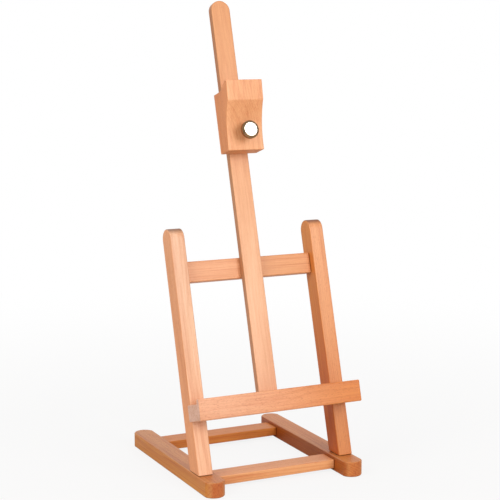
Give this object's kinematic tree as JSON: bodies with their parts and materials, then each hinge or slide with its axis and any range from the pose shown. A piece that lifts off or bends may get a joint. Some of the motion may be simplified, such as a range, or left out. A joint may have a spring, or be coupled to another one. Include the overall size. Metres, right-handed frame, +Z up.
{
  "type": "tabletop easel",
  "caption": "Beech tabletop easel with a flat rail base, leaning uprights, a canvas tray and a clamp block that slides on a centre mast.",
  "frame": {"origin": "on the surface it stands on, at the middle of the base", "axes": "+Z up, -Y towards the painter, +X to the painter's right"},
  "size_m": [0.195, 0.222, 0.5199],
  "materials": {
    "beech": "steamed beech, planed and sanded, clear satin lacquer",
    "dowel_beech": "plain beech dowel rod, unfinished",
    "zinc_screws": "bright zinc plated",
    "strap_steel": "zinc plated strip, satin",
    "insert_brass": "turned brass",
    "pad_nylon": "black nylon, matt",
    "stud_steel": "zinc plated threaded stud",
    "knob_nickel": "polished nickel plate over brass"
  },
  "bodies": {
    "frame": {"left_side_rail": "beech", "right_side_rail": "beech", "front_cross_rail": "beech", "rear_cross_rail": "beech", "left_upright": "beech", "right_upright": "beech", "crossbar": "beech", "mast": "beech", "canvas_tray": "beech", "front_cross_rail_dowel_left_front": "dowel_beech", "front_cross_rail_dowel_left_rear": "dowel_beech", "front_cross_rail_dowel_right_front": "dowel_beech", "front_cross_rail_dowel_right_rear": "dowel_beech", "rear_cross_rail_dowel_left_front": "dowel_beech", "rear_cross_rail_dowel_left_rear": "dowel_beech", "rear_cross_rail_dowel_right_front": "dowel_beech", "rear_cross_rail_dowel_right_rear": "dowel_beech", "crossbar_dowel_left_lower": "dowel_beech", "crossbar_dowel_left_upper": "dowel_beech", "crossbar_dowel_right_lower": "dowel_beech", "crossbar_dowel_right_upper": "dowel_beech", "foot_dowel_left": "dowel_beech", "foot_dowel_right": "dowel_beech", "foot_screw_left": "zinc_screws", "foot_screw_right": "zinc_screws", "tray_screw_left": "zinc_screws", "tray_screw_right": "zinc_screws", "mast_screw_lower": "zinc_screws", "mast_screw_upper": "zinc_screws", "mast_foot_screw_lower": "zinc_screws", "mast_foot_screw_upper": "zinc_screws"},
    "holder": {"canvas_holder": "beech", "guide_strap": "strap_steel", "threaded_insert": "insert_brass", "strap_screw_left_lower": "zinc_screws", "strap_screw_left_upper": "zinc_screws", "strap_screw_right_lower": "zinc_screws", "strap_screw_right_upper": "zinc_screws"},
    "clamp_pad": {"clamp_pad": "pad_nylon"},
    "knob": {"clamp_stud": "stud_steel", "knob_head": "knob_nickel"}
  },
  "joints": [
    {"name": "holder_slide", "type": "slide", "parent": "frame", "child": "holder", "axis": [0, 0.284, 0.9588], "range_m": [-0.1235, 0.133]},
    {"name": "pad_slide", "type": "slide", "parent": "holder", "child": "clamp_pad", "axis": [0, -0.9588, 0.284], "range_m": [0, 0.002]},
    {"name": "knob_turn", "type": "hinge", "parent": "clamp_pad", "child": "knob", "pos_m": [0, 0.02029, 0.36908], "axis": [0, -0.9588, 0.284], "range_deg": [0, 720]}
  ],
  "couplings": [
    {"joint": "knob_turn", "follows": "pad_slide", "rad_per_m": 6283}
  ]
}
